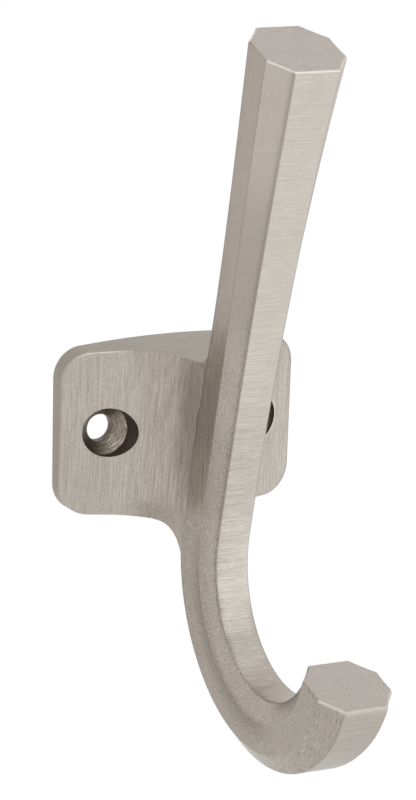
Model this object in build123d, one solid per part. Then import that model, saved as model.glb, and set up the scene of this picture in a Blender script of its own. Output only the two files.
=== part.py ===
from build123d import *
from math import cos, pi, radians, sin
import os

# Double coat hook, one casting. Millimetres, +Z up.
# The origin is the middle of the flat back face of the base.
# The wall is the plane y = 0 and the hook stands forward of it, towards -Y.

# Base
base_width = 44.0
base_bottom = -15.0
base_top = 15.1
base_corner_radius = 5.3
base_top_arch = 1.4
base_bottom_arch = 0.5
base_rim_rounding = 0.45
wing_edge_thickness = 3.3
wing_edge_flare = 0.032

# Screw holes
hole_spacing = 28.1
hole_radius = 2.4
seat_radius = 4.25
land_depth = 1.9
seat_depth = 3.9

# Front face of the bar where it passes the middle of the base, and its reach up and down
stem_forward = 29.5
stem_tilt = 14.65
upper_length = 70.8
lower_length = 15.2
bow_radius = 704.0

# Lower hook, the bend of the front face
cradle_radius = 18.1
cradle_turn = 157.8
tip_radius = 10.2
tip_turn = 19.4

# Eight-sided section at the top end, the waist and the tip
top_width = 14.6
top_front_face = 8.1
top_back_face = 7.8
top_front_corner = 4.3
top_back_corner = 4.5
waist_width = 9.1
waist_front_face = 5.9
waist_back_face = 5.4
waist_front_corner = 3.6
waist_back_corner = 2.3
tip_width = 13.7
tip_front_face = 7.2
tip_back_face = 7.8
tip_front_corner = 4.2
tip_back_corner = 4.2
waist_below_bend = 8.8
front_face_flare = 2.6

# Depth of the section, front face to back face
top_depth = 15.3
neck_depth = 12.0
stem_depth = 12.9
cradle_depth = 11.4
tip_depth = 13.75
end_flare = 1.6
tip_flare = 2.0
end_rounding = 0.38

# Hollow blends round the bar, under and over the base
lower_blend_radius = 5.5
upper_blend_radius = 2.0

prong_length = upper_length + lower_length
cradle_length = cradle_radius * radians(cradle_turn)
tip_length = tip_radius * radians(tip_turn)
bar_length = prong_length + cradle_length + tip_length
waist_position = prong_length + waist_below_bend


def arc_step(y, z, tilt, radius, angle):
    """End point and tilt after following an arc down the bar."""
    chord = 2.0 * radius * sin(angle / 2.0)
    middle = tilt - angle / 2.0
    return y + chord * sin(middle), z - chord * cos(middle), tilt - angle


def front_line(distance):
    """Point (y, z) and tilt of the bar's front face, at a distance from the top end."""
    rise = -upper_length / bow_radius
    y, z, tilt = arc_step(-stem_forward, 0.0, radians(stem_tilt), bow_radius, rise)
    runs = (
        (prong_length, bow_radius),
        (cradle_length, cradle_radius),
        (tip_length, tip_radius),
    )
    left = distance
    for length, radius in runs:
        part = min(max(left, 0.0), length)
        y, z, tilt = arc_step(y, z, tilt, radius, part / radius)
        left -= part
    return y, z, tilt


def waisted(distance, top_value, waist_value, tip_value, flare=2.0):
    """Value that narrows from the top end to the waist and widens again to the tip."""
    if distance < waist_position:
        part = (waist_position - distance) / waist_position
        return waist_value + (top_value - waist_value) * part ** flare
    part = (distance - waist_position) / (bar_length - waist_position)
    return waist_value + (tip_value - waist_value) * part ** 2


def bar_depth(distance):
    """Depth of the section, eased between the top, neck, stem, cradle and tip."""
    places = (0.0, 0.36 * bar_length, 0.65 * bar_length, 0.84 * bar_length, bar_length)
    depths = (top_depth, neck_depth, stem_depth, cradle_depth, tip_depth)
    slopes = [0.0] * 5
    slopes[0] = end_flare * (depths[1] - depths[0]) / (places[1] - places[0])
    slopes[4] = tip_flare * (depths[4] - depths[3]) / (places[4] - places[3])
    here = 0
    while here < 3 and distance > places[here + 1]:
        here += 1
    span = places[here + 1] - places[here]
    part = min(max((distance - places[here]) / span, 0.0), 1.0)
    ease_start = (1.0 + 2.0 * part) * (1.0 - part) ** 2
    ease_end = part ** 2 * (3.0 - 2.0 * part)
    value = ease_start * depths[here] + ease_end * depths[here + 1]
    value += span * part * (1.0 - part) ** 2 * slopes[here]
    value += span * part ** 2 * (part - 1.0) * slopes[here + 1]
    return value


def section_sizes(distance):
    """Half widths and depths of the section's corners: (x, depth) from front to back."""
    width = waisted(distance, top_width, waist_width, tip_width)
    front = waisted(distance, top_front_face, waist_front_face, tip_front_face, front_face_flare)
    back = waisted(distance, top_back_face, waist_back_face, tip_back_face)
    front_corner = waisted(distance, top_front_corner, waist_front_corner, tip_front_corner)
    back_corner = waisted(distance, top_back_corner, waist_back_corner, tip_back_corner)
    depth = bar_depth(distance)
    return (
        (front / 2.0, 0.0),
        (width / 2.0, front_corner),
        (width / 2.0, depth - back_corner),
        (back / 2.0, depth),
    )


def section_points(distance):
    """Eight corners of the bar's section, in space."""
    y, z, tilt = front_line(distance)
    corners = section_sizes(distance)
    right = [(x, y + d * cos(tilt), z + d * sin(tilt)) for x, d in corners]
    left = [(-x, py, pz) for x, py, pz in reversed(right)]
    return right + left


def section_wire(points):
    return Wire.make_polygon([Vector(*p) for p in points], close=True)


def bar_run(start, end, spans):
    """Lofts along the bar between two distances, one for each span."""
    lofts = []
    for i in range(spans):
        first = start + (end - start) * i / spans
        last = start + (end - start) * (i + 1) / spans
        places = (first, (first + last) / 2.0, last)
        wires = [section_wire(section_points(s)) for s in places]
        lofts.append(Solid.make_loft(wires, ruled=False))
    return lofts


def hook_bar():
    """The eight-sided bar: upper prong, waist, cradle and tip."""
    lofts = bar_run(0.0, prong_length, 5) + bar_run(prong_length, bar_length, 14)
    return lofts[0].fuse(*lofts[1:])


def round_ends(bar):
    """Soften the rims of the two flat ends."""
    ends = [face for face in bar.faces() if face.geom_type == GeomType.PLANE]
    edges = [edge for face in ends for edge in face.edges()]
    return bar.fillet(end_rounding, edges)


def corner_at_height(corner, height):
    """Plan position (x, y) of one corner line of the bar at a height near the base."""
    low = max(0.0, upper_length - base_top - base_width)
    high = prong_length + 0.35 * cradle_length
    for _ in range(40):
        middle = (low + high) / 2.0
        if section_points(middle)[corner][2] > height:
            low = middle
        else:
            high = middle
    point = section_points((low + high) / 2.0)[corner]
    return point[0], point[1]


def wing_rise(part):
    """Rise of a wing's swept front as a share of its reach: slow at first, steep beside the bar."""
    last_turn = max(part - 0.93, 0.0) / 0.1
    return 0.22 * part + 0.12 * part ** 2 + 0.38 * part ** 6 + 0.2 * last_turn ** 2


def wing_points(height):
    """Plan curve of the right wing's front, from past the outer edge in to the bar."""
    side_x, front_y = corner_at_height(1, height)
    back_y = corner_at_height(2, height)[1]
    reach = -(front_y + back_y) / 2.0
    edge = wing_edge_thickness + wing_edge_flare * height
    run = base_width / 2.0 - side_x
    points = []
    for part in (-0.06, 0.07, 0.2, 0.4, 0.6, 0.75, 0.87, 0.95, 1.0, 1.03):
        points.append((side_x + run * (1.0 - part), -(edge + wing_rise(part) * (reach - edge))))
    return points


def wing_outline(height):
    """Closed plan outline of both wings and the middle of the base at a height."""
    right = [Vector(x, y, height) for x, y in wing_points(height)]
    left = [Vector(-v.X, v.Y, v.Z) for v in right]
    outer = right[0].X
    back_right = Vector(outer, 1, height)
    back_left = Vector(-outer, 1, height)
    edges = [
        Edge.make_line(back_right, right[0]),
        Edge.make_spline(right),
        Edge.make_line(right[-1], left[-1]),
        Edge.make_spline(list(reversed(left))),
        Edge.make_line(left[0], back_left),
        Edge.make_line(back_left, back_right),
    ]
    return Wire(edges)


def wing_body(low, high, steps):
    """Volume behind the swept wing fronts, between two heights."""
    heights = [low + (high - low) * i / steps for i in range(steps + 1)]
    return Solid.make_loft([wing_outline(h) for h in heights], ruled=False)


def base_face_shape():
    """Front view of the base: rounded corners and a gently arched top, as a prism."""
    half = base_width / 2.0
    shoulder = base_top - base_top_arch
    heel = base_bottom + base_bottom_arch
    with BuildSketch(Plane.XZ) as outline:
        with BuildLine():
            ThreePointArc((-half, heel), (0, base_bottom), (half, heel))
            Line((half, heel), (half, shoulder))
            ThreePointArc((half, shoulder), (0, base_top), (-half, shoulder))
            Line((-half, shoulder), (-half, heel))
        make_face()
        fillet(outline.vertices(), base_corner_radius)
    return extrude(outline.sketch, amount=stem_forward + top_depth)


def rounded_base(wings):
    """Base cut from the wing volume, with its front rim rounded."""
    base = (wings & base_face_shape()).solids()[0]
    beside_bar = corner_at_height(1, base_top)[0]
    rim = [
        edge for edge in base.edges()
        if edge.geom_type == GeomType.BSPLINE and abs(edge.center().X) > beside_bar
    ]
    return base.fillet(base_rim_rounding, rim)


def blend_points(height, offset):
    """Plan outline of the bar grown by an offset on its sides and back."""
    side_x, front_y = corner_at_height(1, height)
    back_y = corner_at_height(2, height)[1]
    rear_x, rear_y = corner_at_height(3, height)
    eased = 0.42 * offset
    right = [
        (side_x + offset, front_y),
        (side_x + offset, back_y + eased),
        (rear_x + eased, rear_y + offset),
    ]
    left = [(-x, y) for x, y in reversed(right)]
    return [Vector(x, y, height) for x, y in right + left]


def hollow_blend(level, radius, direction):
    """Quarter-round hollow blend between the bar and a level face, rooted behind the rim."""
    steps = 6
    wires = []
    for i in range(steps + 1):
        rise = radius * (1.0 - cos(pi / 2.0 * i / steps))
        drop = radius * (1.0 - sin(pi / 2.0 * i / steps))
        height = level + direction * rise
        wires.append(Wire.make_polygon(blend_points(height, drop - 0.05), close=True))
    root = extrude(Face(wires[0]), amount=base_rim_rounding, dir=(0, 0, -direction))
    return Solid.make_loft(wires, ruled=False) + root


def screw_hole(side):
    """Through hole, cone seat and counterbore, cut from the back to the open slope."""
    x = side * hole_spacing / 2.0
    profile = [
        (0.0, -1.0),
        (hole_radius, -1.0),
        (hole_radius, land_depth),
        (seat_radius, seat_depth),
        (seat_radius, stem_forward),
        (0.0, stem_forward),
    ]
    with BuildPart() as tool:
        with BuildSketch(Plane(origin=(x, 0, 0), x_dir=(1, 0, 0), z_dir=(0, 0, 1))):
            with BuildLine():
                Polyline(*[(r, -d) for r, d in profile], close=True)
            make_face()
        revolve(axis=Axis((x, 0, 0), (0, -1, 0)))
    return tool.part


def build_hook():
    bar = round_ends(hook_bar())
    wings = wing_body(base_bottom - lower_blend_radius - 2.0, base_top + 3.0, 8)
    base = rounded_base(wings)
    lower = hollow_blend(base_bottom + 0.02, lower_blend_radius, -1.0) & wings
    upper = hollow_blend(base_top - 0.2, upper_blend_radius, 1.0) & wings
    body = bar + base + lower + upper
    for side in (-1, 1):
        body = body - screw_hole(side)
    return body


hook = build_hook()
hook.label = "hook"
os.makedirs("parts", exist_ok=True)
export_step(hook, "parts/hook.step")
print("volume cm3", hook.volume / 1000.0, "solids", len(hook.solids()))
print(hook.bounding_box())
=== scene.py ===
import math

import bmesh
import bpy
from mathutils import Matrix, Vector, geometry


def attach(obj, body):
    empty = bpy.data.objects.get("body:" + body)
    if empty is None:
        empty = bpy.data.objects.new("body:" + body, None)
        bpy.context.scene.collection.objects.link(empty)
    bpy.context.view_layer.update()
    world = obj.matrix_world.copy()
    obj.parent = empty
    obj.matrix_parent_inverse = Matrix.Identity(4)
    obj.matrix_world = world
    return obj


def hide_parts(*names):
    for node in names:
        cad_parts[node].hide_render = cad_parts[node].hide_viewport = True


# Angled coat hook in brushed satin nickel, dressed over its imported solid.
# Sizes are millimetres in the shared frame: the wall is y = 0, the room is towards -Y.

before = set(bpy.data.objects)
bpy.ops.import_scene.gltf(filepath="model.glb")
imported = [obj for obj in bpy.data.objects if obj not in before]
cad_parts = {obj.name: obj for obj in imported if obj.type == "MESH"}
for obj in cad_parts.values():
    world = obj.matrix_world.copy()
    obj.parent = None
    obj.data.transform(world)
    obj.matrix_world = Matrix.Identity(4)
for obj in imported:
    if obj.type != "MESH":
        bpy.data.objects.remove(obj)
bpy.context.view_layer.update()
MM = 0.001

# Base
BASE_WIDTH = 44.0
BASE_BOTTOM = -15.0
BASE_TOP = 15.1
CORNER_RADIUS = 5.3
TOP_ARCH = 1.4
BOTTOM_ARCH = 0.5
WING_EDGE = 3.3
WING_EDGE_FLARE = 0.032
HALF_BASE = BASE_WIDTH / 2.0
CORNER_START = HALF_BASE - CORNER_RADIUS
WING_PAST_BAR = 1.03
LONG_STEPS = 52
SIDE_STEPS = 18
CORNER_STEPS = 12

# Rounded rim of the base, fading out beside the bar and swelling where the upper blend meets it
RIM_ROUNDING = 0.45
RIM_TURNS = (0.0, 22.5, 45.0, 67.5, 90.0)
RIM_FADES_ABOVE = 7.3
RIM_FADES_BELOW = 7.8
RIM_FADE = 4.0
RIM_LEAST = 0.15
RIM_SWELL = 0.7
RIM_SWELL_PLACE = 9.0
RIM_SWELL_WIDTH = 2.6

# Screw holes: a land at the wall, a cone seat, and a straight wall up to the rounded mouth
HOLE_SPACING = 28.1
HOLE_RADIUS = 2.4
SEAT_RADIUS = 4.25
LAND_DEPTH = 1.9
SEAT_DEPTH = 3.9
MOUTH_ROUNDING = 0.2
MOUTH_RADIUS = SEAT_RADIUS + MOUTH_ROUNDING
WALL_SHARES = (0.33, 0.66)
CONE_STEP = 0.3
CONE_RINGS = 5
CIRCLE_STEPS = 96

# Grid over the wing front: runs of columns as (start, step, count), finest beside the bar
GRID_COLUMNS = ((0.0, 1.5, 3), (4.0, 1.0, 1), (4.3, 0.1, 18), (6.15, 0.2, 10), (8.3, 0.5, 27))
GRID_ROW = 0.7
GRID_CLEARANCE = 0.25
MERGE_DISTANCE = 1e-5

# Front face of the bar, from the top end down to the tip
STEM_FORWARD = 29.5
STEM_TILT = 14.65
UPPER_LENGTH = 70.8
LOWER_LENGTH = 15.2
BOW_RADIUS = 704.0
CRADLE_RADIUS = 18.1
CRADLE_TURN = 157.8
TIP_RADIUS = 10.2
TIP_TURN = 19.4

# Section sizes at the top end, the waist and the tip
WIDTHS = (14.6, 9.1, 13.7)
FRONT_FACES = (8.1, 5.9, 7.2)
FRONT_FACE_FLARE = 2.6
BACK_FACES = (7.8, 5.4, 7.8)
FRONT_CORNERS = (4.3, 3.6, 4.2)
BACK_CORNERS = (4.5, 2.3, 4.2)
WAIST_BELOW_BEND = 8.8

# Depths at the top end, neck, stem, cradle and tip, and the share of the bar where each holds
DEPTHS = (15.3, 12.0, 12.9, 11.4, 13.75)
DEPTH_SHARES = (0.0, 0.36, 0.65, 0.84, 1.0)
END_FLARE = 1.6
TIP_FLARE = 2.0

# Creases, hollow facets and rounded ends of the bar
END_ROUNDING = 0.38
CRISP_CREASE = 0.35
SOFT_CREASE = 0.9
FLANK_HOLLOW = 0.08
SKIN_INSET = 0.01
ROUND_TURNS = (0.0, 30.0, 60.0, 90.0)
FACETS = 8
ARC_STEPS = 4
LINE_STEPS = 6
PRONG_RINGS = 90
BEND_RINGS = 130

# Hollow blends between the bar and the base
LOWER_BLEND = 5.5
UPPER_BLEND = 2.0
UPPER_BLEND_SINK = 0.2
BLEND_EASE = 0.42
BLEND_BITE = 0.05
BLEND_ROOT = 0.7
BLEND_ROOT_INSET = 0.3
BLEND_MARGIN = 0.3
BLEND_REACH = 10.0
BLEND_MIDDLE = 6
BLEND_SWEEP = 42
BLEND_FRONT = BLEND_MIDDLE + BLEND_SWEEP
BLEND_SIDE = 40
BLEND_STEPS = 14

# Hollows beside the bar, where painted shade lies and the wings keep the cast grain: widths across,
# and the heights where each starts and is full
VALLEY_WIDTH = 0.9
VALLEY_FROM_BELOW = (-19.0, -6.0)
VALLEY_FROM_ABOVE = (29.0, 14.0)
SHADE_WIDTH = 1.6
SHADE_HEIGHTS = (-8.0, 11.0)
CAST_PLACE = 3.0
CAST_WIDTH = 3.2
CAST_HEIGHTS = (-10.5, -13.5)
HOLLOW_BELOW_BASE = 3.0

PRONG_LENGTH = UPPER_LENGTH + LOWER_LENGTH
CRADLE_LENGTH = CRADLE_RADIUS * math.radians(CRADLE_TURN)
TIP_LENGTH = TIP_RADIUS * math.radians(TIP_TURN)
BAR_LENGTH = PRONG_LENGTH + CRADLE_LENGTH + TIP_LENGTH
WAIST = PRONG_LENGTH + WAIST_BELOW_BEND

# Searches for a place by halving, along the bar down to a share of the cradle
HALVINGS = 30
SEARCHED_CRADLE = 0.35

# Slots of the hook's mesh, in order, and the slot of each facet of the bar
FRONT, CHAMFER, SIDE, REAR, BACK, WING, EDGE_FACE, END, BORE = range(9)
FACET_SLOTS = (CHAMFER, SIDE, REAR, BACK, REAR, SIDE, CHAMFER, FRONT)

# Joined mesh: the angle past which a crease stays sharp, and how much large faces count in shading
SHARP_ANGLE = 32.0
NORMAL_WEIGHT = 80


# Curves that several parts share

def ease(value, start, end):
    """Smooth step from 0 at start to 1 at end."""
    part = min(max((value - start) / (end - start), 0.0), 1.0)
    return part * part * (3.0 - 2.0 * part)


def bell(offset, width):
    """Bell curve that is 1 at no offset."""
    return math.exp(-(offset / width) ** 2)


# The bar's form

def arc_step(y, z, tilt, radius, angle):
    """End point and tilt after following an arc down the bar."""
    chord = 2.0 * radius * math.sin(angle / 2.0)
    middle = tilt - angle / 2.0
    return y + chord * math.sin(middle), z - chord * math.cos(middle), tilt - angle


def front_line(distance):
    """Point (y, z) and tilt of the bar's front face, at a distance from the top end."""
    rise = -UPPER_LENGTH / BOW_RADIUS
    y, z, tilt = arc_step(-STEM_FORWARD, 0.0, math.radians(STEM_TILT), BOW_RADIUS, rise)
    left = distance
    runs = (
        (PRONG_LENGTH, BOW_RADIUS),
        (CRADLE_LENGTH, CRADLE_RADIUS),
        (TIP_LENGTH, TIP_RADIUS),
    )
    for length, radius in runs:
        part = min(max(left, 0.0), length)
        y, z, tilt = arc_step(y, z, tilt, radius, part / radius)
        left -= part
    return y, z, tilt


def waisted(distance, sizes, flare=2.0):
    """Value that narrows from the top end to the waist and widens again to the tip."""
    top, waist, tip = sizes
    if distance < WAIST:
        return waist + (top - waist) * ((WAIST - distance) / WAIST) ** flare
    return waist + (tip - waist) * ((distance - WAIST) / (BAR_LENGTH - WAIST)) ** 2


def bar_depth(distance):
    """Depth of the section, eased between the top, neck, stem, cradle and tip."""
    places = [share * BAR_LENGTH for share in DEPTH_SHARES]
    slopes = [0.0] * len(places)
    slopes[0] = END_FLARE * (DEPTHS[1] - DEPTHS[0]) / (places[1] - places[0])
    slopes[-1] = TIP_FLARE * (DEPTHS[-1] - DEPTHS[-2]) / (places[-1] - places[-2])
    here = 0
    while here < len(places) - 2 and distance > places[here + 1]:
        here += 1
    span = places[here + 1] - places[here]
    part = min(max((distance - places[here]) / span, 0.0), 1.0)
    value = (1.0 + 2.0 * part) * (1.0 - part) ** 2 * DEPTHS[here]
    value += part ** 2 * (3.0 - 2.0 * part) * DEPTHS[here + 1]
    value += span * part * (1.0 - part) ** 2 * slopes[here]
    value += span * part ** 2 * (part - 1.0) * slopes[here + 1]
    return value


def section_corners(distance):
    """Right-hand corners of the section as (x, depth), from the front face to the back."""
    side = waisted(distance, WIDTHS) / 2.0
    depth = bar_depth(distance)
    return (
        (waisted(distance, FRONT_FACES, FRONT_FACE_FLARE) / 2.0, 0.0),
        (side, waisted(distance, FRONT_CORNERS)),
        (side, depth - waisted(distance, BACK_CORNERS)),
        (waisted(distance, BACK_FACES) / 2.0, depth),
    )


def crease_arcs(corners):
    """Rounding of each crease of the section, as an arc of points."""
    radii = (CRISP_CREASE, SOFT_CREASE, SOFT_CREASE, CRISP_CREASE) * 2
    arcs = []
    for i, (corner, radius) in enumerate(zip(corners, radii)):
        before = (corners[i - 1] - corner).normalized()
        after = (corners[(i + 1) % FACETS] - corner).normalized()
        half_angle = before.angle(after) / 2.0
        run = radius / math.tan(half_angle)
        centre = corner + (before + after).normalized() * radius / math.sin(half_angle)
        start = corner + before * run - centre
        end = corner + after * run - centre
        turned = [start.slerp(end, k / ARC_STEPS) for k in range(ARC_STEPS + 1)]
        arcs.append([centre + ray * radius for ray in turned])
    return arcs


def hollow_line(start, end, middle, hollow):
    """Points from one crease to the next, sagging a little towards the section's middle."""
    run = end - start
    inward = Vector((-run.y, run.x)).normalized()
    if inward.dot(middle - start) < 0.0:
        inward = -inward
    line = []
    for k in range(LINE_STEPS + 1):
        part = k / LINE_STEPS
        line.append(start.lerp(end, part) + inward * hollow * 4.0 * part * (1.0 - part))
    return line


def rounded_section(distance):
    """Section outline as facets, each a list of (point, near, far).

    Near is the distance from the crease that lies nearer the front face, and far from the
    other one. On the front and back faces near is from the right-hand crease.
    """
    right = [Vector(corner) for corner in section_corners(distance)]
    corners = right + [Vector((-corner.x, corner.y)) for corner in reversed(right)]
    arcs = crease_arcs(corners)
    middle = Vector((0.0, bar_depth(distance) / 2.0))
    half_arc = ARC_STEPS // 2
    facets = []
    for i in range(FACETS):
        first, last = arcs[i], arcs[(i + 1) % FACETS]
        hollow = 0.0 if FACET_SLOTS[i] in (FRONT, BACK) else FLANK_HOLLOW
        line = hollow_line(first[-1], last[0], middle, hollow)
        points = first[half_arc:-1] + line + last[1:half_arc + 1]
        across = corners[(i + 1) % FACETS] - corners[i]
        width = across.length
        shares = [(point - corners[i]).dot(across) / width for point in points]
        if i >= FACETS // 2:
            shares = [width - share for share in shares]
        facets.append([(point, share, width - share) for point, share in zip(points, shares)])
    return facets


def place(x, depth, distance):
    """Space point of a section point."""
    y, z, tilt = front_line(distance)
    return Vector((x, y + depth * math.cos(tilt), z + depth * math.sin(tilt)))


def bar_rings():
    """Distances of the bar's rings, and how far each is drawn in to round the ends."""
    rounding = []
    for turn in ROUND_TURNS:
        angle = math.radians(turn)
        distance = SKIN_INSET + (END_ROUNDING - SKIN_INSET) * (1.0 - math.cos(angle))
        rounding.append((distance, END_ROUNDING * (1.0 - math.sin(angle))))
    prong = PRONG_LENGTH - END_ROUNDING
    bend = BAR_LENGTH - PRONG_LENGTH - END_ROUNDING
    rings = list(rounding)
    rings += [(END_ROUNDING + prong * k / PRONG_RINGS, 0.0) for k in range(1, PRONG_RINGS)]
    rings += [(PRONG_LENGTH + bend * k / BEND_RINGS, 0.0) for k in range(BEND_RINGS)]
    rings += [(BAR_LENGTH - distance, inset) for distance, inset in reversed(rounding)]
    return rings


def bar_ring(distance, inset):
    """One ring of the bar as facets of (spot, near, far), drawn in towards its middle."""
    middle = bar_depth(distance) / 2.0
    shrink = 1.0 - (inset + SKIN_INSET) / middle
    ring = []
    for facet in rounded_section(distance):
        ring.append([
            (place(point.x * shrink, middle + (point.y - middle) * shrink, distance), near, far)
            for point, near, far in facet
        ])
    return ring


def build_bar():
    """Mesh of the eight-sided bar with rounded creases and its two flat ends."""
    mesh = bmesh.new()
    strokes = mesh.loops.layers.uv.new("strokes")
    edges = mesh.loops.layers.uv.new("edges")
    rings = []
    for distance, inset in bar_rings():
        ring = bar_ring(distance, inset)
        verts = [[mesh.verts.new(spot * MM) for spot, _, _ in row[:-1]] for row in ring]
        rings.append((distance, ring, verts))
    for (start, ring, verts), (end, next_ring, next_verts) in zip(rings[:-1], rings[1:]):
        for i, slot in enumerate(FACET_SLOTS):
            upper = verts[i] + [verts[(i + 1) % FACETS][0]]
            lower = next_verts[i] + [next_verts[(i + 1) % FACETS][0]]
            for k in range(len(upper) - 1):
                face = mesh.faces.new((upper[k], upper[k + 1], lower[k + 1], lower[k]))
                face.material_index = slot
                marks = (ring[i][k], ring[i][k + 1], next_ring[i][k + 1], next_ring[i][k])
                places = (start, start, end, end)
                for loop, (_, near, far), along in zip(face.loops, marks, places):
                    loop[strokes].uv = (near, along)
                    loop[edges].uv = (near, far)
    for _, _, verts in (rings[0], rings[-1]):
        mesh.faces.new([vert for row in verts for vert in row]).material_index = END
    bmesh.ops.recalc_face_normals(mesh, faces=mesh.faces)
    return mesh


# The base's form

def corner_at_height(corner, height):
    """Plan position (x, y) of a right-hand corner line of the bar at a height near the base."""
    low = max(0.0, UPPER_LENGTH - BASE_TOP - BASE_WIDTH)
    high = PRONG_LENGTH + SEARCHED_CRADLE * CRADLE_LENGTH
    for _ in range(HALVINGS):
        middle = (low + high) / 2.0
        x, depth = section_corners(middle)[corner]
        if place(x, depth, middle).z > height:
            low = middle
        else:
            high = middle
    x, depth = section_corners(low)[corner]
    return x, place(x, depth, low).y


# Sides of the bar that are worked out already, by height
known_sides = {}


def bar_sides(height):
    """Side x, front and back y of the side, and x and y of the back crease, at a height."""
    key = round(height, 2)
    if key not in known_sides:
        side_x, front_y = corner_at_height(1, key)
        back_y = corner_at_height(2, key)[1]
        rear_x, rear_y = corner_at_height(3, key)
        known_sides[key] = (side_x, front_y, back_y, rear_x, rear_y)
    return known_sides[key]


def wing_rise(part):
    """Rise of a wing's front as a share of its reach: slow at first, steep beside the bar."""
    last_turn = max(part - 0.93, 0.0) / 0.1
    return 0.22 * part + 0.12 * part ** 2 + 0.38 * part ** 6 + 0.2 * last_turn ** 2


def wing_front(x, height):
    """How far the swept front of a wing stands from the wall."""
    side_x, front_y, back_y, _, _ = bar_sides(height)
    reach = -(front_y + back_y) / 2.0
    edge = WING_EDGE + WING_EDGE_FLARE * height
    part = min((HALF_BASE - abs(x)) / (HALF_BASE - side_x), WING_PAST_BAR)
    return edge + wing_rise(part) * (reach - edge)


def bottom_edge(x):
    """Height of the base's slightly arched bottom edge."""
    return BASE_BOTTOM + BOTTOM_ARCH * (x / HALF_BASE) ** 2


def top_edge(x):
    """Height of the base's arched top edge."""
    return BASE_TOP - TOP_ARCH * (x / HALF_BASE) ** 2


def base_outline(inset):
    """Closed front outline of the base, drawn in by an inset, as (x, z) points."""
    side = HALF_BASE - inset
    turn = CORNER_START
    radius = CORNER_RADIUS - inset
    low = bottom_edge(turn) + inset + radius
    high = top_edge(turn) - inset - radius
    points = []

    def add_corner(x, z, start):
        for k in range(CORNER_STEPS):
            angle = math.radians(start + 90.0 * k / CORNER_STEPS)
            points.append((x + radius * math.cos(angle), z + radius * math.sin(angle)))

    for k in range(LONG_STEPS):
        x = -turn + 2.0 * turn * k / LONG_STEPS
        points.append((x, bottom_edge(x) + inset))
    add_corner(turn, low, -90.0)
    points.extend((side, low + (high - low) * k / SIDE_STEPS) for k in range(SIDE_STEPS))
    add_corner(turn, high, 0.0)
    for k in range(LONG_STEPS):
        x = turn - 2.0 * turn * k / LONG_STEPS
        points.append((x, top_edge(x) - inset))
    add_corner(-turn, high, 90.0)
    points.extend((-side, high - (high - low) * k / SIDE_STEPS) for k in range(SIDE_STEPS))
    add_corner(-turn, low, 180.0)
    return points


def inside_outline(x, z, inset):
    """Whether a point is inside the base's outline by at least an inset."""
    across = min(abs(x), CORNER_START)
    low = bottom_edge(across)
    high = top_edge(across)
    if abs(x) > CORNER_START:
        for edge, sign in ((low + CORNER_RADIUS, -1.0), (high - CORNER_RADIUS, 1.0)):
            if sign * (z - edge) > 0.0:
                return math.hypot(abs(x) - CORNER_START, z - edge) < CORNER_RADIUS - inset
    return low + inset < z < high - inset and abs(x) < HALF_BASE - inset


def rim_loop(turn):
    """Points of the base's rounded rim at a turn from its front face, as (x, z, sink)."""
    angle = math.radians(turn)
    points = []
    for (x0, z0), (x1, z1) in zip(base_outline(RIM_ROUNDING), base_outline(0.0)):
        above = z1 > 0.0
        fade_from = RIM_FADES_ABOVE if above else RIM_FADES_BELOW
        share = RIM_LEAST + (1.0 - RIM_LEAST) * ease(abs(x1), fade_from, fade_from + RIM_FADE)
        swell = bell(abs(x1) - RIM_SWELL_PLACE, RIM_SWELL_WIDTH) if above else 0.0
        radius = share * RIM_ROUNDING * (1.0 + RIM_SWELL * swell)
        drawn_in = radius * (1.0 - math.sin(angle)) / RIM_ROUNDING
        x = x1 + (x0 - x1) * drawn_in
        z = z1 + (z0 - z1) * drawn_in
        points.append((x, z, radius * (1.0 - math.cos(angle))))
    return points


def circle(side, radius):
    """Points (x, z) of a screw hole's circle."""
    x = side * HOLE_SPACING / 2.0
    turns = [2.0 * math.pi * k / CIRCLE_STEPS for k in range(CIRCLE_STEPS)]
    return [(x + radius * math.cos(t), radius * math.sin(t)) for t in turns]


def grid_points():
    """Grid points of the wing front that are clear of the outline and the holes."""
    columns = [start + step * k for start, step, count in GRID_COLUMNS for k in range(count)]
    rows = math.ceil((BASE_TOP - BASE_BOTTOM) / GRID_ROW)
    points = []
    for row in range(1, rows):
        z = BASE_BOTTOM + GRID_ROW * row
        for column in columns:
            from_hole = math.hypot(column - HOLE_SPACING / 2.0, z)
            if from_hole < MOUTH_RADIUS + GRID_CLEARANCE:
                continue
            for x in {column, -column}:
                if inside_outline(x, z, RIM_ROUNDING + GRID_CLEARANCE):
                    points.append((x, z))
    return points


def ring_faces(mesh, lower, upper, slot):
    """Quads between two closed rings of vertices."""
    count = len(lower)
    faces = []
    for k in range(count):
        quad = (lower[k], lower[(k + 1) % count], upper[(k + 1) % count], upper[k])
        faces.append(mesh.faces.new(quad))
        faces[-1].material_index = slot
    return faces


def front_ring(mesh, points):
    """Vertices on the swept front of the wings, from (x, z, sink) points."""
    return [mesh.verts.new(Vector((x, sink - wing_front(x, z), z)) * MM) for x, z, sink in points]


def build_rim(mesh):
    """Rounded rim and straight edge of the base; its rings at the front face and the wall."""
    rim = [front_ring(mesh, rim_loop(turn)) for turn in RIM_TURNS]
    for outer, inner in zip(rim[1:], rim[:-1]):
        ring_faces(mesh, outer, inner, WING)
    outer = rim[-1]
    halfway, foot = (
        [mesh.verts.new(Vector((v.co.x, v.co.y * share, v.co.z))) for v in outer]
        for share in (0.5, 0.0)
    )
    ring_faces(mesh, halfway, outer, EDGE_FACE)
    ring_faces(mesh, foot, halfway, EDGE_FACE)
    return rim[0], foot


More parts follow.
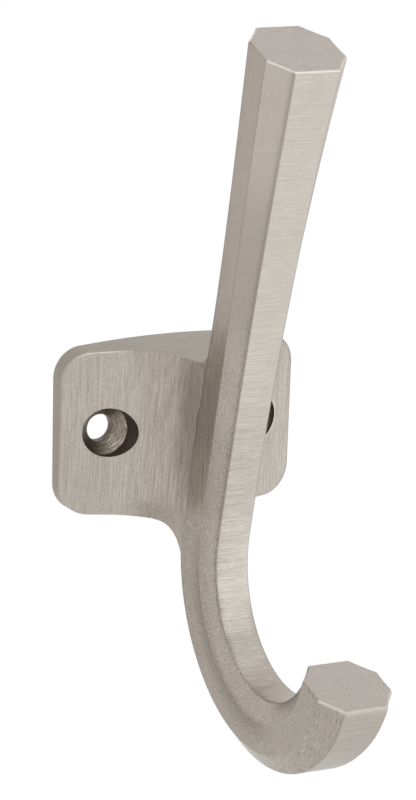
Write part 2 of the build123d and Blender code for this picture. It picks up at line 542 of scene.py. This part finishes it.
def build_hole(mesh, side):
    """One countersunk screw hole; its rings at the mouth and the wall."""
    loops = []
    for turn in ROUND_TURNS:
        angle = math.radians(turn)
        radius = SEAT_RADIUS + MOUTH_ROUNDING * (1.0 - math.sin(angle))
        sink = MOUTH_ROUNDING * (1.0 - math.cos(angle))
        loops.append(front_ring(mesh, [(x, z, sink) for x, z in circle(side, radius)]))
    brim = loops[-1]
    for share in WALL_SHARES:
        loops.append([
            mesh.verts.new(Vector((x * MM, v.co.y * (1 - share) - SEAT_DEPTH * MM * share, z * MM)))
            for (x, z), v in zip(circle(side, SEAT_RADIUS), brim)
        ])
    slope = (SEAT_DEPTH - LAND_DEPTH) / (SEAT_RADIUS - HOLE_RADIUS)
    widths = [CONE_STEP * k for k in range(CONE_RINGS + 1)]
    steps = [(SEAT_RADIUS - width, SEAT_DEPTH - width * slope) for width in widths]
    steps += [(HOLE_RADIUS, LAND_DEPTH), (HOLE_RADIUS, LAND_DEPTH / 2.0), (HOLE_RADIUS, 0.0)]
    for radius, depth in steps:
        loops.append([mesh.verts.new(Vector((x, -depth, z)) * MM) for x, z in circle(side, radius)])
    ring_faces(mesh, loops[1], loops[0], WING)
    for upper, lower in zip(loops[1:-1], loops[2:]):
        ring_faces(mesh, lower, upper, BORE)
    return loops[0], loops[-1]


def triangles_between(loops, hole, inner):
    """Points, triangles and sources between an outer loop and the round holes."""
    spots = []
    edges = []
    for loop in loops:
        first = len(spots)
        spots.extend(Vector(p) for p in loop)
        count = len(loop)
        edges.extend((first + k, first + (k + 1) % count) for k in range(count))
    spots.extend(Vector(p) for p in inner)
    result = geometry.delaunay_2d_cdt(spots, edges, [], 1, MERGE_DISTANCE)
    points, faces, sources = result[0], result[2], result[3]
    solid = []
    for face in faces:
        middle = sum((points[k] for k in face), Vector((0.0, 0.0))) / len(face)
        centre = Vector((math.copysign(HOLE_SPACING / 2.0, middle.x), 0.0))
        if (middle - centre).length > hole * math.cos(math.pi / CIRCLE_STEPS):
            solid.append(face)
    return points, solid, sources


def fill_faces(mesh, filling, known, slot, front):
    """Faces of a filled outline; its loop points are vertices that stand already."""
    points, faces, sources = filling
    verts = []
    for point, origins in zip(points, sources):
        if origins and origins[0] < len(known):
            verts.append(known[origins[0]])
        else:
            verts.append(mesh.verts.new(Vector((point.x, -front(point.x, point.y), point.y)) * MM))
    for face in faces:
        corners = [verts[k] for k in face]
        if len(set(corners)) == len(corners):
            mesh.faces.new(corners).material_index = slot


def build_base():
    """Mesh of the base: swept wings, rounded rim, and two countersunk holes."""
    mesh = bmesh.new()
    rim, foot = build_rim(mesh)
    left_mouth, left_foot = build_hole(mesh, -1)
    right_mouth, right_foot = build_hole(mesh, 1)
    loops = [[(x, z) for x, z, _ in rim_loop(0.0)]]
    loops += [circle(side, MOUTH_RADIUS) for side in (-1, 1)]
    filling = triangles_between(loops, MOUTH_RADIUS, grid_points())
    fill_faces(mesh, filling, rim + left_mouth + right_mouth, WING, wing_front)
    loops = [base_outline(0.0)] + [circle(side, HOLE_RADIUS) for side in (-1, 1)]
    filling = triangles_between(loops, HOLE_RADIUS, [])
    fill_faces(mesh, filling, foot + left_foot + right_foot, EDGE_FACE, lambda x, z: 0.0)
    bmesh.ops.recalc_face_normals(mesh, faces=mesh.faces)
    return mesh


# Hollow blends between bar and base

def blend_ring(height, offset, inset):
    """Plan ring of a blend: the bar's outline grown by an offset, cut off by the wing front."""
    side_x, front_y, back_y, rear_x, rear_y = bar_sides(height)
    grown = offset - inset
    eased = BLEND_EASE * offset
    turns = [
        Vector((0.0, rear_y + grown)),
        Vector((rear_x + eased, rear_y + grown)),
        Vector((side_x + grown, back_y + eased)),
        Vector((side_x + grown, front_y - BLEND_REACH)),
    ]
    runs = [(b - a).length for a, b in zip(turns[:-1], turns[1:])]

    def along(distance):
        for start, end, run in zip(turns[:-1], turns[1:], runs):
            if distance <= run:
                return start.lerp(end, distance / run)
            distance -= run
        return turns[-1]

    low, high = 0.0, sum(runs)
    for _ in range(HALVINGS):
        middle = (low + high) / 2.0
        spot = along(middle)
        if -spot.y < wing_front(spot.x, height) - inset:
            low = middle
        else:
            high = middle
    corner = along(low)
    edge = min(side_x, corner.x) - BLEND_MARGIN
    columns = [edge * k / BLEND_MIDDLE for k in range(BLEND_MIDDLE)]
    columns += [edge + (corner.x - edge) * k / BLEND_SWEEP for k in range(BLEND_SWEEP + 1)]
    right = [(x, inset - wing_front(x, height)) for x in columns]
    right += [tuple(along(low * (1.0 - k / BLEND_SIDE))) for k in range(1, BLEND_SIDE + 1)]
    left = [(-x, y) for x, y in reversed(right[1:-1])]
    return right + left


def build_blend(level, radius, direction):
    """Mesh of a hollow blend between the bar and a level face of the base."""
    mesh = bmesh.new()
    rings = [blend_ring(level - direction * BLEND_ROOT, radius, BLEND_ROOT_INSET)]
    heights = [level - direction * BLEND_ROOT]
    for k in range(BLEND_STEPS + 1):
        angle = math.pi / 2.0 * k / BLEND_STEPS
        height = level + direction * (radius * (1.0 - math.cos(angle)))
        heights.append(height)
        rings.append(blend_ring(height, radius * (1.0 - math.sin(angle)) - BLEND_BITE, 0.0))
    rows = [
        [mesh.verts.new(Vector((x, y, height)) * MM) for x, y in ring]
        for height, ring in zip(heights, rings)
    ]
    for lower, upper in zip(rows[:-1], rows[1:]):
        faces = ring_faces(mesh, lower, upper, EDGE_FACE)
        for face in faces[:BLEND_FRONT] + faces[-BLEND_FRONT:]:
            face.material_index = WING
    for row in (rows[0], rows[-1]):
        mesh.faces.new(row).material_index = EDGE_FACE
    bmesh.ops.recalc_face_normals(mesh, faces=mesh.faces)
    return mesh


# Joining the pieces into one casting

def add_object(name, data):
    """New object that stands in the scene."""
    thing = bpy.data.objects.new(name, data)
    bpy.context.scene.collection.objects.link(thing)
    return thing


def as_object(mesh, name):
    """Object that takes over a mesh under construction."""
    data = bpy.data.meshes.new(name)
    mesh.to_mesh(data)
    mesh.free()
    return add_object(name, data)


def apply_modifiers(thing):
    """Bake an object's modifiers into its mesh."""
    bpy.context.view_layer.update()
    ready = thing.evaluated_get(bpy.context.evaluated_depsgraph_get())
    data = bpy.data.meshes.new_from_object(ready)
    thing.modifiers.clear()
    thing.data = data


def mark_hollows(data):
    """Masks for the painted shade in the hollows beside the bar, which also mark where the sides
    are brushed down, and for where the wings keep the cast grain under more painted shade.
    """
    valley = data.attributes.new("valley", "FLOAT", "POINT")
    shade = data.attributes.new("shade", "FLOAT", "POINT")
    cast = data.attributes.new("cast", "FLOAT", "POINT")
    for vert in data.vertices:
        x, _, z = vert.co / MM
        height = min(max(z, BASE_BOTTOM - HOLLOW_BELOW_BASE), BASE_TOP)
        gap = max(abs(x) - bar_sides(height)[0], 0.0)
        beside_base = ease(z, *VALLEY_FROM_BELOW) * ease(z, *VALLEY_FROM_ABOVE)
        valley.data[vert.index].value = bell(gap, VALLEY_WIDTH) * beside_base
        shaded = bell(gap, SHADE_WIDTH) * ease(z, *SHADE_HEIGHTS)
        shade.data[vert.index].value = shaded * beside_base
        cast.data[vert.index].value = bell(gap - CAST_PLACE, CAST_WIDTH) * ease(z, *CAST_HEIGHTS)


def build_hook(materials):
    """The whole casting as one closed mesh."""
    hook = as_object(build_bar(), "dressed_hook")
    others = [
        as_object(build_base(), "base"),
        as_object(build_blend(BASE_BOTTOM, LOWER_BLEND, -1.0), "lower_blend"),
        as_object(build_blend(BASE_TOP - UPPER_BLEND_SINK, UPPER_BLEND, 1.0), "upper_blend"),
    ]
    for thing in [hook] + others:
        for material in materials:
            thing.data.materials.append(material)
    for other in others:
        union = hook.modifiers.new("union", "BOOLEAN")
        union.operation = "UNION"
        union.solver = "EXACT"
        union.object = other
    apply_modifiers(hook)
    for other in others:
        bpy.data.objects.remove(other)
    for face in hook.data.polygons:
        face.use_smooth = True
    hook.data.set_sharp_from_angle(angle=math.radians(SHARP_ANGLE))
    mark_hollows(hook.data)
    weighted = hook.modifiers.new("weighted normals", "WEIGHTED_NORMAL")
    weighted.keep_sharp = True
    weighted.weight = NORMAL_WEIGHT
    return hook


# Shader nodes

def link(tree, source, target):
    """Join two sockets."""
    tree.links.new(source, target)


def separated(tree, vector):
    """The three parts of a vector."""
    node = tree.nodes.new("ShaderNodeSeparateXYZ")
    link(tree, vector, node.inputs[0])
    return tuple(node.outputs)


def noise(tree, vector, stretch, detail):
    """Noise over a vector that is stretched first."""
    mapping = tree.nodes.new("ShaderNodeMapping")
    mapping.inputs["Scale"].default_value = stretch
    link(tree, vector, mapping.inputs["Vector"])
    texture = tree.nodes.new("ShaderNodeTexNoise")
    texture.inputs["Scale"].default_value = 1.0
    texture.inputs["Detail"].default_value = detail
    texture.inputs["Roughness"].default_value = 0.6
    link(tree, mapping.outputs["Vector"], texture.inputs["Vector"])
    return texture.outputs["Fac"]


def spread(tree, value, low, high, start=0.3, end=0.7, smooth=False):
    """Map a value to a range, held at both ends."""
    node = tree.nodes.new("ShaderNodeMapRange")
    node.interpolation_type = "SMOOTHSTEP" if smooth else "LINEAR"
    node.inputs["From Min"].default_value = start
    node.inputs["From Max"].default_value = end
    node.inputs["To Min"].default_value = low
    node.inputs["To Max"].default_value = high
    link(tree, value, node.inputs["Value"])
    return node.outputs["Result"]


def arithmetic(tree, operation, first, second=0.0):
    """Result of a sum on sockets or plain numbers."""
    node = tree.nodes.new("ShaderNodeMath")
    node.operation = operation
    for socket, value in zip(node.inputs, (first, second)):
        if isinstance(value, (int, float)):
            socket.default_value = value
        else:
            link(tree, value, socket)
    return node.outputs["Value"]


def weighted_sum(tree, parts):
    """Sum of values times their weights."""
    total = None
    for value, weight in parts:
        term = arithmetic(tree, "MULTIPLY", value, weight)
        total = term if total is None else arithmetic(tree, "ADD", total, term)
    return total


# A mix node has its own pair of inputs and its own output for each kind of value.
MIX_FACTOR = 0
MIX_NUMBERS = (2, 3)
MIX_COLOURS = (6, 7)
MIXED_NUMBER = 0
MIXED_COLOUR = 2


def mixed(tree, value, first, second):
    """Value between two others."""
    node = tree.nodes.new("ShaderNodeMix")
    link(tree, value, node.inputs[MIX_FACTOR])
    for place_in, number in zip(MIX_NUMBERS, (first, second)):
        link(tree, number, node.inputs[place_in])
    return node.outputs[MIXED_NUMBER]


def tinted(tree, value, first, second):
    """Colour between two others, which are sockets or plain colours, by a value."""
    node = tree.nodes.new("ShaderNodeMix")
    node.data_type = "RGBA"
    link(tree, value, node.inputs[MIX_FACTOR])
    for place_in, colour in zip(MIX_COLOURS, (first, second)):
        if isinstance(colour, tuple):
            node.inputs[place_in].default_value = (*colour, 1.0)
        else:
            link(tree, colour, node.inputs[place_in])
    return node.outputs[MIXED_COLOUR]


def times(colour, factor):
    """A colour made brighter or darker."""
    return tuple(part * factor for part in colour)


# The nickel finish, with variants whose hue and tone change face by face for how each face is lit,
# warmer on faces in shade: painted light and shade

NICKEL = (0.41, 0.364, 0.322)
WARM_NICKEL = (0.41, 0.361, 0.32)
SHADED_NICKEL = (0.41, 0.362, 0.31)
SHADED_EDGE_NICKEL = (0.41, 0.358, 0.295)
PALE_NICKEL = (0.41, 0.37, 0.338)
BORE_NICKEL = (0.41, 0.345, 0.275)
# Colour that the painted shade pulls towards
PAINTED_SHADE_TINT = (0.075, 0.055, 0.04)
# Colour of the painted highlights
HIGHLIGHT_TINT = (0.95, 0.9, 0.84)

# How far the strokes and grain swing the tone and the roughness
DARKEST_SHARE = 0.45
BRIGHTEST_SHARE = 1.55
ROUGHNESS_SWING = 0.06

# A band of painted shade this wide covers its whole facet, and a band that starts here is full at
# the top end
WHOLE_FACET = 30.0
FROM_TOP = (-2.0, -1.0)


class Surface:
    """One slot's shader, with the coordinates that its details are laid over."""

    def __init__(self, name):
        self.material = bpy.data.materials.new(name)
        self.material.use_nodes = True
        self.tree = self.material.node_tree
        self.shader = self.tree.nodes["Principled BSDF"]
        self.shader.inputs["Metallic"].default_value = 1.0
        tree = self.tree
        metres = tree.nodes.new("ShaderNodeTexCoord").outputs["Object"]
        scaled = tree.nodes.new("ShaderNodeVectorMath")
        scaled.operation = "SCALE"
        scaled.inputs["Scale"].default_value = 1.0 / MM
        link(tree, metres, scaled.inputs[0])
        self.space = scaled.outputs[0]
        self.strokes = self.layer("strokes")
        self.near, self.far, _ = separated(tree, self.layer("edges"))
        _, self.along, _ = separated(tree, self.strokes)
        self.grain = noise(tree, self.space, (5.0, 5.0, 5.0), 3.0)
        self.cloud = noise(tree, self.space, (0.25, 0.25, 0.25), 3.0)

    def layer(self, name):
        """Coordinates that the bar's mesh carries: strokes (near, along) or edges (near, far)."""
        node = self.tree.nodes.new("ShaderNodeUVMap")
        node.uv_map = name
        return node.outputs["UV"]

    def attribute(self, name):
        """Value that mark_hollows left on the mesh."""
        node = self.tree.nodes.new("ShaderNodeAttribute")
        node.attribute_name = name
        return node.outputs["Fac"]

    def band(self, distance, width, strength, low, full, last, high):
        """Mask of painted shade beside a crease, ragged by the grain, between four places along the
        bar; one band serves as a painted reflection instead.

        It starts at low, is full from full to last, and ends at high.
        """
        tree = self.tree
        ragged = weighted_sum(tree, ((distance, 1.0), (self.grain, 1.2)))
        value = spread(tree, ragged, strength, 0.0, 0.55, 0.6 + width, True)
        rise = spread(tree, self.along, 0.0, 1.0, low, full, True)
        fall = spread(tree, self.along, 1.0, 0.0, last, high, True)
        return arithmetic(tree, "MULTIPLY", value, arithmetic(tree, "MULTIPLY", rise, fall))

    def painted_end_highlights(self, tip_share=0.1):
        """Painted highlight along the rims of the bar's two ends."""
        tree = self.tree
        ragged = weighted_sum(tree, ((self.along, 1.0), (self.grain, 0.2)))
        top = spread(tree, ragged, 0.3, 0.0, 0.2, 0.45, True)
        tip = spread(tree, ragged, 0.0, tip_share, BAR_LENGTH - 0.2, BAR_LENGTH, True)
        return arithmetic(tree, "ADD", top, tip)

    def finish(self, tone, rough, strokes, contrast, darkness=(), depth=0.02, painted_highlight=None):
        """Colour, roughness and bump from the strokes and the grain, with the darkness masks as
        painted shade and a painted highlight on top.

        Contrast holds the shares of the strokes, the grain and the cloud.
        """
        tree = self.tree
        layers = (strokes, self.grain, self.cloud)
        shade = weighted_sum(tree, [
            (spread(tree, layer, -1.0, 1.0), share) for layer, share in zip(layers, contrast)
        ])
        shade = spread(tree, shade, 0.0, 1.0, -1.0, 1.0)
        colour = tinted(tree, shade, times(tone, DARKEST_SHARE), times(tone, BRIGHTEST_SHARE))
        # Painted shade: each darkness mask pulls the colour towards the shade tint
        for value in darkness:
            colour = tinted(tree, value, colour, PAINTED_SHADE_TINT)
        # Painted highlight: pulls the colour towards a pale tint
        if painted_highlight:
            colour = tinted(tree, painted_highlight, colour, HIGHLIGHT_TINT)
        link(tree, colour, self.shader.inputs["Base Color"])
        roughness = spread(tree, shade, rough + ROUGHNESS_SWING, rough - ROUGHNESS_SWING)
        link(tree, roughness, self.shader.inputs["Roughness"])
        bump = tree.nodes.new("ShaderNodeBump")
        bump.inputs["Strength"].default_value = 1.0
        bump.inputs["Distance"].default_value = depth * MM
        link(tree, shade, bump.inputs["Height"])
        link(tree, bump.outputs["Normal"], self.shader.inputs["Normal"])
        return self.material


def down_strokes(surface, long_rate, short_rate):
    """Strokes straight down, with the rates per mm at which they change towards the wall."""
    tree = surface.tree
    long = noise(tree, surface.space, (8.5, long_rate, 0.07), 2.0)
    short = noise(tree, surface.space, (9.0, short_rate, 0.4), 2.0)
    return weighted_sum(tree, ((long, 0.6), (short, 0.4)))


def brushed_across(name, tone, rough, strongest):
    """Front and back faces: fine strokes straight across the bar, with painted shade at places
    along the bar and a painted highlight on the end rims.
    """
    surface = Surface(name)
    tree = surface.tree
    long = noise(tree, surface.strokes, (0.07, 8.5, 1.0), 2.0)
    short = noise(tree, surface.strokes, (0.4, 9.0, 1.0), 2.0)
    strokes = weighted_sum(tree, ((long, 0.58), (short, 0.42)))
    strength = spread(tree, surface.along, 0.3, strongest, 30.0, 85.0, True)
    # Painted shade: washes over the whole face at places along the bar, and a band along one crease
    # near the bend
    dark = (
        surface.band(surface.near, WHOLE_FACET, 0.1, *FROM_TOP, 78.0, 88.0),
        surface.band(surface.near, WHOLE_FACET, 0.08, 58.0, 68.0, 76.0, 84.0),
        surface.band(surface.near, WHOLE_FACET, 0.2, 95.5, 99.0, 104.0, 118.0),
        surface.band(surface.far, 1.2, 0.4, 95.0, 98.5, 104.0, 110.0),
    )
    contrast = (strength, 0.14, 0.03)
    return surface.finish(tone, rough, strokes, contrast, dark, 0.004, surface.painted_end_highlights())


def cast_chamfer(name, tone, rough):
    """Front corners: cast grain, with ragged painted shade along both creases and over the facet at
    places along the bar, deepening down the bar, and a painted highlight on the end rims.
    """
    surface = Surface(name)
    tree = surface.tree
    soft = noise(tree, surface.strokes, (1.2, 0.5, 1.0), 3.0)
    # Painted shade along both creases, over the whole facet at places, and more down the bar
    dark = (
        surface.band(surface.near, 1.2, 0.34, *FROM_TOP, 96.0, 112.0),
        surface.band(surface.near, 0.5, 0.2, 45.0, 62.0, 96.0, 110.0),
        surface.band(surface.near, 0.35, 0.4, 96.0, 112.0, 130.0, 136.0),
        surface.band(surface.near, 3.0, 0.55, 122.0, 127.0, 132.0, 138.0),
        surface.band(surface.far, 1.2, 0.4, 96.0, 108.0, 120.0, 127.0),
        surface.band(surface.far, 2.0, 0.1, 42.0, 58.0, 76.0, 86.0),
        surface.band(surface.far, 3.0, 0.16, 74.0, 84.0, 98.0, 106.0),
        surface.band(surface.far, WHOLE_FACET, 0.13, 16.0, 30.0, 44.0, 52.0),
        surface.band(surface.far, WHOLE_FACET, 0.14, 64.0, 70.0, 79.0, 86.0),
        spread(tree, surface.along, 0.0, 0.16, 5.0, 55.0, True),
    )
    strength = spread(tree, surface.along, 0.05, 0.7, 15.0, 75.0, True)
    contrast = (0.05, strength, 0.03)
    return surface.finish(tone, rough, soft, contrast, dark, 0.01, surface.painted_end_highlights())


def cast_side(name, tone, rough):
    """Side faces: smooth cast grain, brushed down beside the base, with painted shade along the
    creases, over the facet and deeper in the hollows beside the base, eased off in the valley.
    """
    surface = Surface(name)
    tree = surface.tree
    valley = surface.attribute("valley")
    soft = noise(tree, surface.strokes, (0.9, 0.4, 1.0), 3.0)
    strokes = mixed(tree, valley, soft, down_strokes(surface, 1.8, 2.2))
    # Painted shade: bands along the creases, a wash that eases off in the valley beside the base,
    # deeper shade in the hollows there, and more down the bar
    dark = (
        surface.band(surface.near, 0.3, 0.35, *FROM_TOP, 96.0, 106.0),
        surface.band(surface.near, 4.2, 0.38, 82.0, 97.0, 118.0, 128.0),
        surface.band(surface.far, 0.9, 0.22, *FROM_TOP, 96.0, 110.0),
        spread(tree, valley, 0.12, 0.0, 0.0, 1.0),
        spread(tree, surface.attribute("shade"), 0.0, 0.25, 0.0, 1.0),
        spread(tree, surface.along, 0.0, 0.06, 20.0, 40.0, True),
        surface.band(surface.far, WHOLE_FACET, 0.1, 75.0, 90.0, 96.0, 108.0),
    )
    strength = spread(tree, surface.along, 0.05, 0.75, 15.0, 105.0, True)
    brushed = spread(tree, valley, 0.06, 0.6, 0.0, 1.0)
    return surface.finish(tone, rough, strokes, (brushed, strength, 0.04), dark, 0.006)


def brushed_along(name, tone, rough):
    """Rear corners: faint strokes along the bar, with painted shade low down and along the back
    crease, a painted reflection, and a painted highlight on the end rims.
    """
    surface = Surface(name)
    tree = surface.tree
    strokes = noise(tree, surface.strokes, (8.0, 0.8, 1.0), 2.0)
    strength = spread(tree, surface.along, 0.1, 0.5, 100.0, 130.0, True)
    # Painted shade low down the bar and along the back crease
    dark = (
        spread(tree, surface.along, 0.0, 0.2, 113.0, 124.0, True),
        surface.band(surface.far, 0.4, 0.3, 100.0, 120.0, 150.0, 151.0),
    )
    # Painted reflection: a pale wash over the facet low on the bar
    painted_reflection = surface.band(surface.near, WHOLE_FACET, 0.2, 97.0, 103.0, 110.0, 119.0)
    bright = arithmetic(tree, "ADD", surface.painted_end_highlights(0.35), painted_reflection)
    return surface.finish(tone, rough, strokes, (strength, 0.24, 0.03), dark, 0.004, bright)


def brushed_down(name, tone, rough):
    """Wing fronts: strokes straight down, and cast grain where they meet the stem, with painted
    shade in the hollows beside the bar and over the cast grain.
    """
    surface = Surface(name)
    tree = surface.tree
    cast = surface.attribute("cast")
    strokes = mixed(tree, cast, down_strokes(surface, 0.6, 1.0), surface.grain)
    # Painted shade in the hollows beside the bar and over the cast grain near the stem
    dark = (
        spread(tree, surface.attribute("shade"), 0.0, 0.14, 0.0, 1.0),
        spread(tree, surface.attribute("valley"), 0.0, 0.1, 0.0, 1.0),
        spread(tree, cast, 0.0, 0.24, 0.0, 1.0),
    )
    return surface.finish(tone, rough, strokes, (0.52, 0.3, 0.0), dark, 0.005)


def ground_edge(name, tone, rough):
    """Rims of the base and its blends: fine strokes round the outline."""
    surface = Surface(name)
    strokes = noise(surface.tree, surface.space, (0.25, 3.0, 3.0), 4.0)
    return surface.finish(tone, rough, strokes, (0.16, 0.12, 0.05))


def ground_end(name, tone, rough):
    """Ends of the bar: plain satin with hardly any stroke."""
    surface = Surface(name)
    strokes = noise(surface.tree, surface.space, (0.5, 7.0, 7.0), 2.0)
    return surface.finish(tone, rough, strokes, (0.14, 0.3, 0.03), depth=0.006)


def turned_bore(name, tone, rough):
    """Screw holes: the rings that turning left, with painted shade on the counterbore wall, down
    the through hole and on the side away from the bar, which leaves the seat brighter.
    """
    surface = Surface(name)
    tree = surface.tree
    across, depth, height = separated(tree, surface.space)
    sideways = arithmetic(tree, "ABSOLUTE", across)
    beside = arithmetic(tree, "SUBTRACT", sideways, HOLE_SPACING / 2.0)
    radius = arithmetic(tree, "SQRT", weighted_sum(tree, (
        (arithmetic(tree, "MULTIPLY", beside, beside), 1.0),
        (arithmetic(tree, "MULTIPLY", height, height), 1.0),
    )))
    turn = arithmetic(tree, "ARCTAN2", height, beside)
    rings = tree.nodes.new("ShaderNodeCombineXYZ")
    for socket, value in zip(rings.inputs, (radius, turn, depth)):
        link(tree, value, socket)
    strokes = noise(tree, rings.outputs[0], (7.0, 2.5, 5.0), 2.0)
    # Painted shade on the counterbore wall, down the through hole, and on the side away from the
    # bar and upward
    wall = spread(tree, depth, 1.0, 0.0, -SEAT_DEPTH - 0.15, -SEAT_DEPTH + 0.05)
    land = spread(tree, depth, 0.0, 0.85, -LAND_DEPTH - 0.15, -LAND_DEPTH + 0.05)
    side = weighted_sum(tree, ((beside, 0.87), (height, 0.5)))
    outer = spread(tree, side, 0.0, 0.75, -1.6, 1.2, True)
    return surface.finish(tone, rough, strokes, (1.1, 0.7, 0.05), (wall, land, outer), 0.03)


def hook_materials():
    """One material for each slot, in the order of the slots."""
    # Each slot's tone is the one nickel made lighter, darker, warmer and paler from slot to slot
    # for how lit its face looks: painted light and shade
    return [
        brushed_across("nickel_front", times(WARM_NICKEL, 1.08), 0.38, 0.7),
        cast_chamfer("nickel_chamfer", times(NICKEL, 1.12), 0.42),
        cast_side("nickel_side", SHADED_NICKEL, 0.4),
        brushed_along("nickel_rear", times(NICKEL, 1.04), 0.4),
        brushed_across("nickel_back", times(NICKEL, 0.9), 0.4, 0.3),
        brushed_down("nickel_wing", times(NICKEL, 0.965), 0.38),
        # The rims and blends of the base are painted darker as shade
        ground_edge("nickel_edge", times(SHADED_EDGE_NICKEL, 0.7), 0.4),
        ground_end("nickel_end", times(PALE_NICKEL, 1.07), 0.38),
        turned_bore("nickel_bore", times(BORE_NICKEL, 0.8), 0.4),
    ]


# Stage, light and camera, with places in metres

FLOOR_WHITE = (0.99, 0.99, 0.99)
FLOOR_HALF_SIZE = 3.0
FLOOR_PLACE = (0.0, 0.6, -1.0)
COOL_LIGHT = (0.8, 0.95, 1.0)
LIT_PLACE = (0.0, -0.035, 0.0)
WORLD_WHITE = (1.0, 1.0, 1.0, 1.0)
WORLD_STRENGTH = 1.02


def plain_material(name, colour, rough):
    """Material of one even colour."""
    material = bpy.data.materials.new(name)
    material.use_nodes = True
    shader = material.node_tree.nodes["Principled BSDF"]
    shader.inputs["Base Color"].default_value = (*colour, 1.0)
    shader.inputs["Roughness"].default_value = rough
    return material


def build_floor():
    """Plain white floor, far enough below for no shadow to reach the picture."""
    mesh = bmesh.new()
    bmesh.ops.create_grid(mesh, x_segments=8, y_segments=8, size=FLOOR_HALF_SIZE)
    bmesh.ops.translate(mesh, verts=mesh.verts, vec=FLOOR_PLACE)
    floor = as_object(mesh, "floor")
    floor.data.materials.append(plain_material("floor_white", FLOOR_WHITE, 1.0))


def softbox(name, place_at, size, radiance):
    """Soft rectangular light towards the hook that looks equally bright at any size."""
    data = bpy.data.lights.new(name, "AREA")
    data.shape = "RECTANGLE"
    data.size, data.size_y = size
    data.energy = radiance * math.pi * size[0] * size[1]
    data.color = COOL_LIGHT
    light = add_object(name, data)
    light.location = place_at
    aim = Vector(LIT_PLACE) - Vector(place_at)
    light.rotation_euler = aim.to_track_quat("-Z", "Y").to_euler()
    light.visible_camera = False


def build_light():
    """White surroundings and four soft lights."""
    world = bpy.data.worlds.new("studio")
    bpy.context.scene.world = world
    world.use_nodes = True
    background = world.node_tree.nodes["Background"]
    background.inputs["Color"].default_value = WORLD_WHITE
    background.inputs["Strength"].default_value = WORLD_STRENGTH
    softbox("front_right", (0.6, -0.78, -0.2), (0.8, 1.5), 0.75)
    softbox("front_left", (-0.6, -1.0, -0.3), (1.4, 1.0), 0.22)
    softbox("overhead", (0.4, -0.1, 1.0), (0.6, 0.6), 0.6)
    softbox("above_front", (-0.1, -0.8, 0.75), (1.2, 0.5), 2.5)


def build_camera():
    """Camera as solved from the photograph's outline, looking down from the left."""
    picture_height = 800
    focal_pixels = 3422.0
    sensor_width = 36.0
    eye = Vector((-252.9, -516.7, 144.5)) * MM
    turn = math.radians(26.75)
    dip = math.radians(13.79)
    roll = math.radians(1.25)
    view = Vector((math.sin(turn) * math.cos(dip), math.cos(turn) * math.cos(dip), -math.sin(dip)))
    right = Vector((math.cos(turn), -math.sin(turn), 0.0))
    up = right.cross(view)
    right, up = (
        right * math.cos(roll) + up * math.sin(roll),
        up * math.cos(roll) - right * math.sin(roll),
    )
    data = bpy.data.cameras.new("camera")
    data.sensor_fit = "AUTO"
    data.sensor_width = sensor_width
    data.lens = sensor_width * focal_pixels / picture_height
    data.clip_start = 0.05
    camera = add_object("camera", data)
    camera.matrix_world = Matrix.Translation(eye) @ Matrix((right, up, -view)).transposed().to_4x4()
    bpy.context.scene.camera = camera


bpy.context.scene.view_settings.view_transform = "Standard"
hook = build_hook(hook_materials())
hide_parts("hook")
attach(hook, "root")
build_floor()
build_light()
build_camera()
